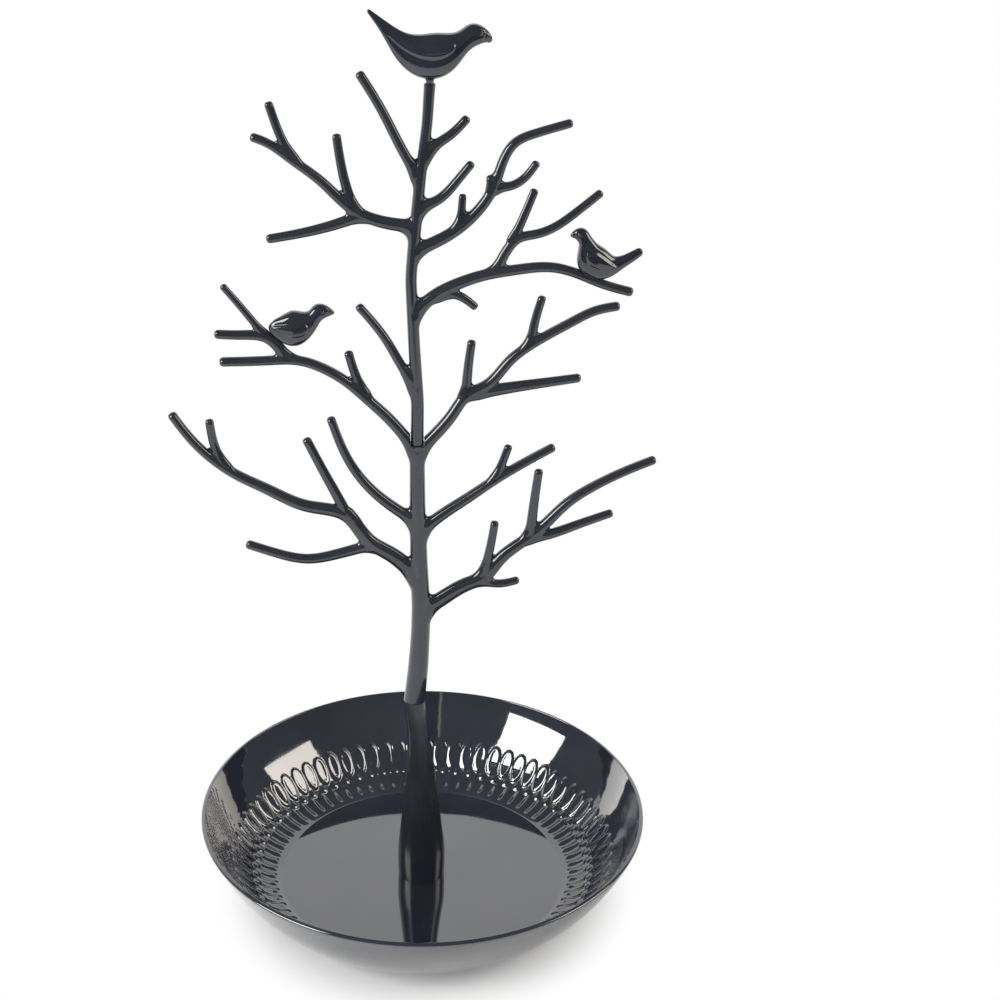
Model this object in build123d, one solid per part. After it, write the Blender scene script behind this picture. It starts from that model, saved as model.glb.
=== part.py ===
from build123d import *
import math
import os

# Jewelry tree: a flat moulded tree of three stacked pieces, standing in a round dish, with three birds.
# Millimetres, +Z up. The origin is the centre of the dish on the table, and the tree lies in the XZ plane.

# Dish
rim_radius = 73.9
dish_height = 32.5
floor_height = 5.0
floor_thickness = 2.0
floor_radius = 48.5
relief_radius = 55.7
relief_height = 4.0
break_radius = 64.3
break_height = 11.1
wall_bulge = 75.0
wall_thickness = 1.6
rim_round = 0.7
foot_ring_radius = 45.4
foot_ring_width = 2.2
oval_count = 76
oval_depth = 0.8
ridge_cut = 0.06

# Trunk, as a beveled column in three lengths
base_length = 70.0
lower_length = 94.0
upper_length = 115.0
foot_width = 16.4
foot_depth = 12.8
foot_bevel = 1.0
kink_width = 7.2
kink_depth = 7.0
kink_shift = -3.1
joint_width = 4.8
joint_depth = 5.0
joint_shift = -2.5
joint_step = 0.6
top_width = 3.2
top_depth = 3.4
top_shift = 0.8
bevel_share = 0.27

# Limbs
limb_depth = 4.0
set_back = 0.25
depth_taper = 0.84
trunk_flare = 2.4
twig_flare = 0.8
flare_length = 8.0
flare_lean = 0.3
root_taper = 1.6
section_spacing = 11.0
tip_reach = 0.4

# Push joints between the three lengths of trunk
lower_tenon_width = 3.6
lower_tenon_length = 14.0
upper_tenon_width = 2.2
upper_tenon_length = 10.0
tenon_side_gap = 0.05
tenon_end_gap = 0.5
tenon_lead = 0.4
crotch_gap = 0.12
crotch_height = 9.0

# Birds
bird_peg_diameter = 1.6
bird_peg_length = 6.0
bird_neck_diameter = 2.2
bird_seat_gap = 0.05
side_peg_diameter = 1.4
side_peg_length = 2.0
peg_side_gap = 0.05
peg_end_gap = 0.3
saddle_gap = 0.1

# Fixing screw, up through the dish into the trunk
screw_diameter = 3.5
screw_length = 18.0
screw_hole_gap = 0.05
head_diameter = 7.0
head_height = 1.7
recess_width = 1.0
recess_length = 4.0
recess_depth = 0.9
washer_diameter = 10.0
washer_thickness = 0.6
key_diameter = 2.4
key_spacing = 9.0
key_gap = 0.05
key_end_gap = 0.3

base_seat = floor_height
lower_seat = base_seat + base_length
upper_seat = lower_seat + lower_length
tree_top = upper_seat + upper_length

# Trunk centrelines, width and depth: (shift in X, height over the seat, width, depth)
base_stations = [
    (-0.5, 11.0, foot_width, foot_depth),
    (-0.7, 21.0, 14.0, 11.2),
    (-0.8, 33.0, 11.6, 9.6),
    (-1.0, 45.0, 9.4, 8.2),
    (-1.9, 57.0, 7.2, 7.0),
]
lower_stations = [
    (-1.9, 12.0, 6.9, 6.6),
    (-1.2, 25.0, 6.4, 6.2),
    (-1.0, 35.0, 6.3, 6.0),
    (-1.8, 52.0, 5.8, 5.6),
    (-2.3, 72.0, 5.2, 5.2),
]
upper_stations = [
    (-2.4, 14.0, 4.2, 4.2),
    (-3.5, 33.0, 3.8, 4.0),
    (-4.6, 55.0, 3.6, 4.0),
    (-3.6, 67.0, 3.8, 4.0),
    (-1.9, 86.0, 3.6, 3.8),
    (0.1, 103.0, 3.3, 3.5),
]

# Limbs: name: (what it grows from, root width, tip width, [(X, height over the seat), ...])
lower_limbs = {
    "left_low": ("trunk", 6.0, 3.0, [
        (-1.6, 45.5), (-10.8, 55.0), (-17.6, 59.9), (-25.2, 69.6), (-36.9, 73.0),
        (-49.0, 79.0), (-59.4, 84.9), (-73.1, 98.0), (-78.2, 105.9)]),
    "left_low_drooping": ("left_low", 3.9, 3.1, [
        (-16.8, 58.7), (-27.7, 55.7), (-37.3, 54.2), (-47.4, 56.6), (-56.5, 60.1)]),
    "left_low_riser": ("left_low", 3.8, 3.0, [
        (-23.0, 66.0), (-27.4, 75.7), (-32.3, 86.0), (-37.1, 96.5)]),
    "left_low_spur": ("left_low", 3.2, 2.8, [(-62.2, 87.0), (-65.3, 94.5), (-66.7, 103.6)]),
    "left_middle": ("trunk", 4.1, 2.9, [(-2.4, 66.3), (-16.6, 78.0), (-23.8, 88.4), (-29.4, 103.5)]),
    "left_bird_limb": ("trunk", 4.0, 3.0, [
        (-2.5, 91.0), (-11.0, 102.4), (-17.7, 109.3), (-24.8, 115.9), (-31.7, 120.3),
        (-38.4, 122.8), (-47.5, 123.1), (-62.6, 122.9)]),
    "left_bird_limb_twig": ("left_bird_limb", 3.3, 2.9, [(-18.6, 110.5), (-21.8, 118.6), (-23.7, 125.5)]),
    "left_perch": ("left_bird_limb", 4.2, 3.0, [
        (-41.4, 122.0), (-44.4, 126.9), (-48.6, 130.7), (-56.0, 131.6), (-63.8, 132.0)]),
    "left_perch_twig": ("left_perch", 2.6, 2.3, [(-49.2, 131.6), (-54.8, 139.4), (-61.1, 147.6)]),
    "right_low": ("trunk", 5.8, 2.9, [
        (-0.9, 34.0), (5.5, 38.1), (12.9, 42.9), (19.5, 46.2), (24.1, 51.9), (30.5, 57.6),
        (37.2, 63.0), (45.2, 71.5), (54.5, 78.0), (63.9, 82.8), (73.2, 86.7)]),
    "right_low_twig": ("right_low", 3.3, 2.8, [(18.8, 45.8), (21.2, 56.8), (22.5, 65.8)]),
    "right_low_stub": ("right_low", 3.0, 2.6, [(17.9, 45.4), (22.6, 43.4), (30.5, 44.4)]),
    "right_low_riser": ("right_low", 3.7, 2.9, [(34.0, 60.3), (35.0, 73.0), (36.2, 83.9)]),
    "right_low_fork": ("right_low", 3.9, 2.9, [(33.2, 59.7), (40.0, 60.8), (48.1, 63.6), (60.2, 68.0)]),
    "right_middle": ("trunk", 4.2, 2.9, [
        (-1.8, 62.8), (6.8, 69.8), (14.1, 74.9), (21.3, 80.1), (28.5, 84.8), (40.7, 91.9)]),
    "right_middle_twig": ("right_middle", 3.1, 2.7, [(22.4, 80.9), (24.7, 87.4), (26.4, 92.6)]),
    "right_high": ("trunk", 4.3, 3.0, [
        (-2.5, 91.0), (4.3, 98.3), (8.8, 104.3), (13.0, 110.2), (19.0, 113.6), (25.8, 121.3),
        (31.0, 125.8), (44.9, 134.1), (51.9, 137.6), (59.3, 139.1)]),
    "right_high_twig": ("right_high", 3.5, 2.8, [(12.6, 110.0), (13.2, 119.8), (14.2, 128.4)]),
    "right_high_fork": ("right_high", 4.8, 3.0, [(13.8, 110.4), (24.1, 112.2), (35.0, 113.7), (48.1, 115.4)]),
    "right_high_riser": ("right_high", 3.3, 2.7, [(32.3, 126.3), (33.4, 134.0), (35.6, 142.5)]),
}
upper_limbs = {
    "left_lowest": ("trunk", 3.4, 2.8, [(-2.7, 18.6), (-8.4, 28.4), (-11.9, 34.9), (-20.5, 46.5)]),
    "left_wide": ("trunk", 4.4, 2.8, [
        (-3.6, 71.5), (-12.9, 73.0), (-21.2, 76.6), (-31.7, 86.4), (-39.4, 92.4), (-47.1, 97.9), (-51.1, 99.5)]),
    "left_wide_riser": ("left_wide", 3.4, 2.8, [(-21.6, 76.9), (-24.2, 86.2), (-26.4, 99.9)]),
    "left_wide_level": ("left_wide", 3.9, 2.9, [(-18.6, 75.4), (-26.8, 72.5), (-37.5, 69.8), (-47.3, 68.1)]),
    "left_wide_twig": ("left_wide", 3.1, 2.7, [(-38.8, 92.0), (-42.1, 98.5), (-45.9, 109.6)]),
    "left_top": ("trunk", 3.4, 2.9, [(-2.4, 86.6), (-7.2, 95.2), (-13.5, 107.8), (-19.7, 118.2)]),
    "right_bird_limb": ("trunk", 4.4, 3.0, [
        (-4.4, 42.8), (3.7, 50.1), (9.4, 53.0), (18.2, 55.9), (27.0, 57.3), (38.5, 57.9),
        (44.4, 56.4), (53.5, 52.5), (63.1, 49.5)]),
    "right_bird_limb_stub": ("right_bird_limb", 3.8, 2.6, [(3.0, 49.3), (8.8, 49.7), (12.4, 47.8), (15.3, 45.3)]),
    "right_bird_limb_fork": ("right_bird_limb", 3.5, 2.7, [
        (21.0, 56.6), (24.1, 63.2), (27.9, 67.4), (32.5, 68.5), (38.3, 70.6), (44.0, 74.6), (52.3, 81.5)]),
    "right_bird_limb_twig": ("right_bird_limb_fork", 3.1, 2.7, [(26.0, 66.6), (29.1, 74.0), (32.3, 82.5)]),
    "right_wide": ("trunk", 4.3, 2.8, [
        (-3.8, 63.6), (6.5, 68.6), (11.1, 71.9), (15.9, 76.8), (20.0, 83.5), (22.3, 90.6),
        (26.2, 97.1), (32.0, 99.8), (42.7, 102.9)]),
    "right_wide_stub": ("right_wide", 2.9, 2.4, [(10.2, 71.4), (10.8, 81.2)]),
    "right_wide_spur": ("right_wide", 2.6, 1.9, [(20.0, 83.2), (18.7, 86.6)]),
    "right_wide_twig": ("right_wide", 3.1, 2.6, [(20.6, 83.4), (25.4, 83.9), (29.3, 86.4), (32.7, 91.0)]),
    "right_top_low": ("trunk", 3.6, 2.7, [(-3.0, 77.2), (3.8, 80.0), (8.8, 85.2), (13.4, 91.0)]),
    "right_top_high": ("trunk", 3.6, 2.8, [(-1.2, 93.0), (3.3, 97.0), (7.1, 99.7), (11.9, 104.7)]),
}

# Birds: (X, height, half height, half thickness, lean of the section in degrees), from tail to beak.
# Heights are over the trunk's top for the top bird, and over the seat of its own length for the others.
top_bird_stations = [
    (-17.1, 21.4, 0.5, 0.4, 42.0),
    (-12.4, 16.5, 1.7, 0.9, 41.0),
    (-8.0, 12.0, 3.5, 2.0, 40.0),
    (-3.2, 9.0, 5.8, 3.4, 24.0),
    (2.1, 8.0, 6.7, 4.1, 8.0),
    (6.9, 9.2, 5.4, 3.9, -4.0),
    (10.4, 12.1, 3.5, 2.9, -16.0),
    (13.6, 14.2, 3.2, 2.7, -12.0),
    (16.2, 14.1, 2.3, 1.9, 0.0),
    (17.6, 12.9, 1.1, 0.9, 30.0),
    (18.6, 11.7, 0.3, 0.3, 50.0),
]
left_bird_stations = [
    (-47.6, 134.4, 1.4, 0.8, 20.0),
    (-44.6, 134.1, 3.7, 2.0, 16.0),
    (-41.0, 133.6, 5.5, 3.2, 6.0),
    (-37.4, 133.8, 4.9, 3.3, -2.0),
    (-34.6, 135.8, 3.4, 2.5, -14.0),
    (-32.0, 138.7, 2.6, 2.1, -10.0),
    (-30.0, 138.8, 1.8, 1.4, 5.0),
    (-27.7, 138.3, 0.3, 0.3, 10.0),
]
right_bird_stations = [
    (65.9, 63.5, 0.6, 0.5, -28.0),
    (62.6, 61.1, 1.4, 0.9, -26.0),
    (59.3, 59.2, 1.9, 1.2, -12.0),
    (55.6, 57.8, 3.8, 2.3, 18.0),
    (51.4, 59.4, 5.1, 3.2, 36.0),
    (48.7, 62.4, 4.3, 3.1, 44.0),
    (47.7, 65.6, 3.2, 2.4, 34.0),
    (46.6, 68.0, 2.4, 2.0, 16.0),
    (45.1, 68.4, 1.6, 1.2, 0.0),
    (43.4, 68.0, 0.3, 0.3, -10.0),
]
left_peg_place = (-44.2, 126.5)
right_peg_place = (52.0, 53.4)


def octagon(origin, across, along, width, depth):
    """Beveled section: width runs along across, depth along Y, on a plane that faces along."""
    w = width / 2
    d = depth / 2
    cut_w = bevel_share * width
    cut_d = bevel_share * depth
    corners = [
        (w, -d + cut_d), (w, d - cut_d), (w - cut_w, d), (-w + cut_w, d),
        (-w, d - cut_d), (-w, -d + cut_d), (-w + cut_w, -d), (w - cut_w, -d)]
    plane = Plane(origin=origin, x_dir=across, z_dir=along)
    return plane * make_face(Polyline(*corners, close=True))


def column(stations):
    """Upright trunk length, lofted through level octagons."""
    return loft([
        octagon((shift, 0, height), (1, 0, 0), (0, 0, 1), width, depth)
        for shift, height, width, depth in stations], ruled=True)


def interpolate(stations, height):
    """Shift, width and depth of a column at a height."""
    for low, high in zip(stations, stations[1:]):
        if height <= high[1]:
            share = (height - low[1]) / (high[1] - low[1])
            return [low[i] + share * (high[i] - low[i]) for i in (0, 2, 3)]
    return [stations[-1][i] for i in (0, 2, 3)]


class Limb:
    """One limb: its route in the XZ plane, its taper, and how far its root flares."""

    def __init__(self, seat, points, root_width, tip_width, root_depth, flare, growth):
        self.route = Spline(*[(x, 0, seat + height) for x, height in points])
        self.root_width = root_width
        self.tip_width = tip_width
        self.root_depth = root_depth
        self.flare = flare
        self.growth = growth

    def width_at(self, share):
        return self.tip_width + (self.root_width - self.tip_width) * (1 - share) ** root_taper

    def depth_at(self, share):
        return self.root_depth * (1 + share * (depth_taper - 1))

    def nearest_share(self, point):
        count = 60
        return min((i / count for i in range(count + 1)), key=lambda t: (self.route @ t - point).length)

    def solid(self, grow=0.0):
        """Loft through beveled sections square to the route, with a swollen root and a rounded tip."""
        length = self.route.length
        straight = length - self.tip_width / 2
        root = min(flare_length, straight / 2)
        count = math.ceil((straight - root) / section_spacing)
        runs = [0, root / 3]
        runs += [root + i / count * (straight - root) for i in range(count + 1)]
        faces = []
        for run in runs:
            share = run / length
            place = self.route @ share
            way = self.route % share
            across = Vector(way.Z, 0, -way.X)
            if across.dot(self.growth) > 0:
                across = across * -1
            rise = min(1, run / root)
            swell = self.flare * abs(across.dot(self.growth)) * 6.75 * rise * (1 - rise) ** 2
            middle = place + across * (swell * (0.5 - flare_lean))
            faces.append(octagon(middle, across, way, self.width_at(share) + swell + grow,
                                 self.depth_at(share) + grow))
        way = self.route % 1
        across = Vector(way.Z, 0, -way.X)
        if across.dot(self.growth) > 0:
            across = across * -1
        for turn in (math.radians(35.0), math.radians(65.0)):
            place = self.route @ 1 + way * (tip_reach - self.tip_width / 2 * (1 - math.sin(turn)))
            size = math.cos(turn)
            faces.append(octagon(place, across, way, self.tip_width * size + grow, self.depth_at(1) * size + grow))
        return loft(faces, ruled=True)


def grow_limbs(table, stations, seat):
    """Limb objects for one length of trunk, each set back from what it grows from."""
    limbs = {}
    for name, (parent, root_width, tip_width, points) in table.items():
        root = Vector(points[0][0], 0, seat + points[0][1])
        if parent == "trunk":
            parent_depth = interpolate(stations, root.Z)[2]
            growth = Vector(0, 0, 1)
            flare = trunk_flare
        else:
            share = limbs[parent].nearest_share(root)
            parent_depth = limbs[parent].depth_at(share)
            growth = limbs[parent].route % share
            flare = twig_flare
        depth = min(limb_depth, parent_depth - 2 * set_back)
        limbs[name] = Limb(seat, points, root_width, tip_width, depth, flare, growth)
    return limbs


def tenon(shift, seat, width, length):
    """Square plug that hangs under a trunk length, with a beveled nose."""
    plug = Pos(shift, 0, seat) * extrude(Rectangle(width, width), -length)
    return chamfer(plug.faces().sort_by(Axis.Z)[0].edges(), tenon_lead)


def socket(shift, seat, width, length):
    """Square hole that takes a tenon, clear of it on every side."""
    wide = width + 2 * tenon_side_gap
    return Pos(shift, 0, seat) * extrude(Rectangle(wide, wide), -(length + tenon_end_gap))


def oval_row(low_edge, high_edge, turn_share):
    """Cutter for one row of long hollows round the wall, between two radius and height pairs."""
    rings = []
    for share, depth in ((0.0, ridge_cut), (0.25, oval_depth), (0.75, oval_depth), (1.0, ridge_cut)):
        place = low_edge + (high_edge - low_edge) * share
        corners = []
        for i in range(2 * oval_count):
            turn = math.pi * (i + turn_share) / oval_count
            reach = place.X + (ridge_cut if i % 2 else depth)
            corners.append((reach * math.cos(turn), reach * math.sin(turn)))
        rings.append(Pos(0, 0, place.Y) * make_face(Polyline(*corners, close=True)))
    return loft(rings, ruled=True)


def dish():
    """Turned bowl with a flat floor, a bent wall of even thickness, a relief ring and a foot ring."""
    under = floor_height - floor_thickness
    floor_edge = Vector(floor_radius, floor_height)
    relief_seam = Vector(relief_radius, floor_height + relief_height)
    wall_break = Vector(break_radius, floor_height + break_height)
    rim = Vector(rim_radius, dish_height)
    inside = Line(floor_edge, relief_seam) + Line(relief_seam, wall_break)
    inside += RadiusArc(wall_break, rim, -wall_bulge)
    outside = offset(inside, wall_thickness, side=Side.RIGHT, closed=False)
    low = min(outside.vertices(), key=lambda v: v.Y)
    top = max(outside.vertices(), key=lambda v: v.Y)
    profile = make_face(inside.edges() + outside.edges() + [
        Line((0, under), (0, floor_height)),
        Line((0, floor_height), floor_edge),
        Line(rim, (top.X, top.Y)),
        Line((low.X, low.Y), (low.X, under)),
        Line((low.X, under), (0, under))])
    rim_corners = profile.vertices().filter_by(lambda v: v.Y > dish_height - wall_thickness)
    profile = fillet(rim_corners, min(rim_round, 0.45 * wall_thickness))
    body = revolve(Plane.XZ * profile, Axis.Z)
    ring = Circle(foot_ring_radius + foot_ring_width / 2) - Circle(foot_ring_radius - foot_ring_width / 2)
    foot = extrude(ring, under)
    body += chamfer(foot.faces().sort_by(Axis.Z)[0].edges(), foot_ring_width / 5)
    body -= oval_row(floor_edge, relief_seam, 1)
    body -= oval_row(relief_seam, wall_break, 0)
    body -= Pos(base_stations[0][0], 0, 0) * Cylinder(screw_diameter / 2 + screw_hole_gap, 4 * floor_height)
    for place in GridLocations(key_spacing, 0, 2, 1):
        hole = Cylinder(key_diameter / 2 + key_gap, 4 * floor_height)
        body -= Pos(base_stations[0][0], 0, 0) * place * hole
    return body


def trunk_base():
    """Flared foot of the trunk, with the lower socket, the screw's bore and two keys into the dish."""
    foot_shift = base_stations[0][0]
    stations = [(foot_shift, 0, foot_width - 2 * foot_bevel, foot_depth - 2 * foot_bevel),
                (foot_shift, foot_bevel, foot_width - foot_bevel / 2, foot_depth - foot_bevel / 2)]
    stations += base_stations
    stations += [(kink_shift, base_length, kink_width, kink_depth)]
    body = column([(shift, base_seat + height, width, depth) for shift, height, width, depth in stations])
    body -= socket(kink_shift, lower_seat, lower_tenon_width, lower_tenon_length)
    bore_length = screw_length + 1.0
    body -= Pos(foot_shift, 0, base_seat) * extrude(Circle(screw_diameter / 2 + screw_hole_gap), bore_length)
    key_length = floor_thickness - key_end_gap
    for place in GridLocations(key_spacing, 0, 2, 1):
        body += Pos(foot_shift, 0, base_seat) * place * extrude(Circle(key_diameter / 2), -key_length)
    return body


def lower_tree(limbs, stations):
    """Middle length of trunk with its limbs, plugged into the base, with a notch for the upper length."""
    body = column(stations) + [limb.solid() for limb in limbs.values()]
    body += tenon(kink_shift, lower_seat, lower_tenon_width, lower_tenon_length)
    body -= socket(joint_shift, upper_seat, upper_tenon_width, upper_tenon_length)
    notch_width = joint_width - joint_step + 2 * crotch_gap
    notch = extrude(Rectangle(notch_width, 2 * joint_depth), crotch_height)
    return body - Pos(joint_shift, 0, upper_seat) * notch


def upper_tree(limbs, stations):
    """Top length of trunk with its limbs, plugged into the lower tree, bored for the top bird's peg."""
    body = column(stations) + [limb.solid() for limb in limbs.values()]
    body += tenon(joint_shift, upper_seat, upper_tenon_width, upper_tenon_length)
    bore = extrude(Circle(bird_peg_diameter / 2 + peg_side_gap), -(bird_peg_length + peg_end_gap))
    return body - Pos(top_shift, 0, tree_top) * bore


def bird_body(stations, seat):
    """Plump bird, lofted through twelve-sided ovals from tail to beak."""
    facing = math.copysign(1, stations[-1][0] - stations[0][0])
    turns = [math.pi * i / 6 for i in range(12)]
    ovals = []
    for x, height, half_height, half_thickness, lean in stations:
        turn = math.radians(lean)
        up = (math.sin(turn), 0, math.cos(turn))
        ahead = (facing * math.cos(turn), 0, -facing * math.sin(turn))
        plane = Plane(origin=(x, 0, seat + height), x_dir=up, z_dir=ahead)
        corners = [(half_height * math.cos(t), half_thickness * math.sin(t)) for t in turns]
        ovals.append(plane * make_face(Polyline(*corners, close=True)))
    return loft(ovals)


def top_bird():
    """Largest bird, on a neck and a round peg that turns in the trunk's top."""
    body = bird_body(top_bird_stations, tree_top)
    belly = top_bird_stations[4][1]
    seat = Pos(top_shift, 0, tree_top + bird_seat_gap)
    body += seat * extrude(Circle(bird_neck_diameter / 2), belly - bird_seat_gap)
    return body + seat * extrude(Circle(bird_peg_diameter / 2), -bird_peg_length)


def side_peg(limb, place, centre, gap, end_gap):
    """Round peg, or its hole, square to a limb at a place, running up into the bird's centre."""
    share = limb.nearest_share(place)
    way = limb.route % share
    across = Vector(way.Z, 0, -way.X)
    if across.dot(centre - place) < 0:
        across = across * -1
    sunk = limb.width_at(share) / 2 - side_peg_length - end_gap
    plane = Plane(origin=limb.route @ share + across * sunk, z_dir=across)
    reach = limb.width_at(share) / 2 - sunk + side_peg_length
    return plane * extrude(Circle(side_peg_diameter / 2 + gap), reach)


def side_bird(stations, seat, limb, place):
    """Small bird that straddles a limb, with a saddle cut to the limb's section and a peg into it."""
    middle = stations[len(stations) // 2]
    centre = Vector(middle[0], 0, seat + middle[1])
    body = bird_body(stations, seat) - limb.solid(grow=2 * saddle_gap)
    body = body.solids().sort_by(SortBy.VOLUME)[-1]
    return body + side_peg(limb, place, centre, 0.0, 0.0)


def base_screw():
    """Pan-head screw with a cross recess, driven up through the washer and the dish."""
    head_top = floor_height - floor_thickness - washer_thickness
    body = Pos(0, 0, head_top - head_height) * extrude(Circle(head_diameter / 2), head_height)
    body = chamfer(body.faces().sort_by(Axis.Z)[0].edges(), head_height / 3)
    cross = Rectangle(recess_length, recess_width) + Rectangle(recess_width, recess_length)
    body -= Pos(0, 0, head_top - head_height) * extrude(cross, recess_depth)
    shank = extrude(Circle(screw_diameter / 2), screw_length + floor_thickness + washer_thickness)
    shank = chamfer(shank.faces().sort_by(Axis.Z)[-1].edges(), screw_diameter / 4)
    return Pos(base_stations[0][0], 0, 0) * (body + Pos(0, 0, head_top) * shank)


def base_washer():
    """Flat washer between the screw's head and the dish."""
    ring = Circle(washer_diameter / 2) - Circle(screw_diameter / 2 + screw_hole_gap)
    under = floor_height - floor_thickness
    return Pos(base_stations[0][0], 0, under) * extrude(ring, -washer_thickness)


def export(name, solid):
    solid.label = name
    export_step(solid, f"parts/{name}.step")


os.makedirs("parts", exist_ok=True)

lower_column = [(kink_shift, lower_seat, kink_width, kink_depth)]
lower_column += [(x, lower_seat + z, w, d) for x, z, w, d in lower_stations]
lower_column += [(joint_shift, upper_seat, joint_width, joint_depth)]
upper_column = [(joint_shift, upper_seat, joint_width - joint_step, joint_depth - joint_step)]
upper_column += [(x, upper_seat + z, w, d) for x, z, w, d in upper_stations]
upper_column += [(top_shift, tree_top, top_width, top_depth)]

lower_grown = grow_limbs(lower_limbs, lower_column, lower_seat)
upper_grown = grow_limbs(upper_limbs, upper_column, upper_seat)
left_perch = lower_grown["left_perch"]
right_perch = upper_grown["right_bird_limb"]
left_place = Vector(left_peg_place[0], 0, lower_seat + left_peg_place[1])
right_place = Vector(right_peg_place[0], 0, upper_seat + right_peg_place[1])

left_bird = side_bird(left_bird_stations, lower_seat, left_perch, left_place)
right_bird = side_bird(right_bird_stations, upper_seat, right_perch, right_place)
left_hole = side_peg(left_perch, left_place, left_bird.center(), peg_side_gap, peg_end_gap)
right_hole = side_peg(right_perch, right_place, right_bird.center(), peg_side_gap, peg_end_gap)

export("dish", dish())
export("base_washer", base_washer())
export("base_screw", base_screw())
export("trunk_base", trunk_base())
export("lower_tree", lower_tree(lower_grown, lower_column) - left_hole)
export("upper_tree", upper_tree(upper_grown, upper_column) - right_hole)
export("top_bird", top_bird())
export("left_bird", left_bird)
export("right_bird", right_bird)
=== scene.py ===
import math

import bpy
import numpy as np
from mathutils import Matrix, Vector


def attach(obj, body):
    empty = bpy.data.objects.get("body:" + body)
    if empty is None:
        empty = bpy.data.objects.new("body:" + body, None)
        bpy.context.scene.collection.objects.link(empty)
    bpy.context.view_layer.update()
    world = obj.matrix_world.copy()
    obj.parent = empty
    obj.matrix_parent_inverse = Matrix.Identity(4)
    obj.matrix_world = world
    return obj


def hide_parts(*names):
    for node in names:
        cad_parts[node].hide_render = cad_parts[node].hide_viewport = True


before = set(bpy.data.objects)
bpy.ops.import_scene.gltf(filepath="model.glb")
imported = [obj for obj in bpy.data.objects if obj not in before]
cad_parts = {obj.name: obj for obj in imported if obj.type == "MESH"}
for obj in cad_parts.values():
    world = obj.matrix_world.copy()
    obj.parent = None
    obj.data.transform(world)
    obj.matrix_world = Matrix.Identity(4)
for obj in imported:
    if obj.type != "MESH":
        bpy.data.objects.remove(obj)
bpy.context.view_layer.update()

# Jewelry tree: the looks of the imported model. Lengths are millimetres until a mesh is made.
MM = 0.001
FAR = 9.0
tree_voxel = 0.38
bird_voxel = 0.22

# Places that the frame's pieces share
base_seat = 5.0
lower_seat = 75.0
upper_seat = 169.0
tree_top = 284.0
kink = (-3.1, 7.2, 7.0)
joint = (-2.5, 4.8, 5.0)
top = (0.8, 3.5, 3.5)

# Push joints: half widths and lengths of the square plugs, and the round peg of the top bird
lower_plug, lower_plug_length = 1.8, 14.0
upper_plug, upper_plug_length = 1.1, 10.0
plug_gap, plug_end_gap = 0.05, 0.5
crotch_half_width, crotch_height = 2.22, 9.0
bird_peg, bird_peg_length, bird_neck = 0.8, 6.0, 1.1

# Trunk lengths: (shift in X, height over the seat, width, depth)
base_stations = [
    (-0.5, 0.0, 16.0, 14.6), (-0.5, 2.0, 16.3, 15.0), (-0.5, 11.0, 16.4, 15.0), (-0.7, 21.0, 14.0, 13.4),
    (-0.8, 33.0, 11.6, 11.8), (-1.0, 45.0, 9.4, 10.0), (-1.9, 57.0, 7.2, 8.2), (kink[0], 70.0, kink[1], kink[2])]
lower_stations = [
    (kink[0], 0.0, kink[1], kink[2]), (-1.9, 12.0, 6.9, 6.6), (-1.2, 25.0, 6.4, 6.2), (-1.0, 35.0, 6.3, 6.0),
    (-1.8, 52.0, 5.8, 5.6), (-2.3, 72.0, 5.2, 5.2), (joint[0], 94.0, joint[1], joint[2])]
upper_stations = [
    (joint[0], 0.0, joint[1] - 0.6, joint[2] - 0.6), (-2.4, 14.0, 4.2, 4.2), (-3.5, 33.0, 3.8, 4.0),
    (-4.6, 55.0, 3.6, 4.0), (-3.6, 67.0, 3.8, 4.0), (-1.9, 86.0, 3.6, 3.8), (0.1, 103.0, 3.3, 3.5),
    (top[0], 115.0, top[1], top[2])]

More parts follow.
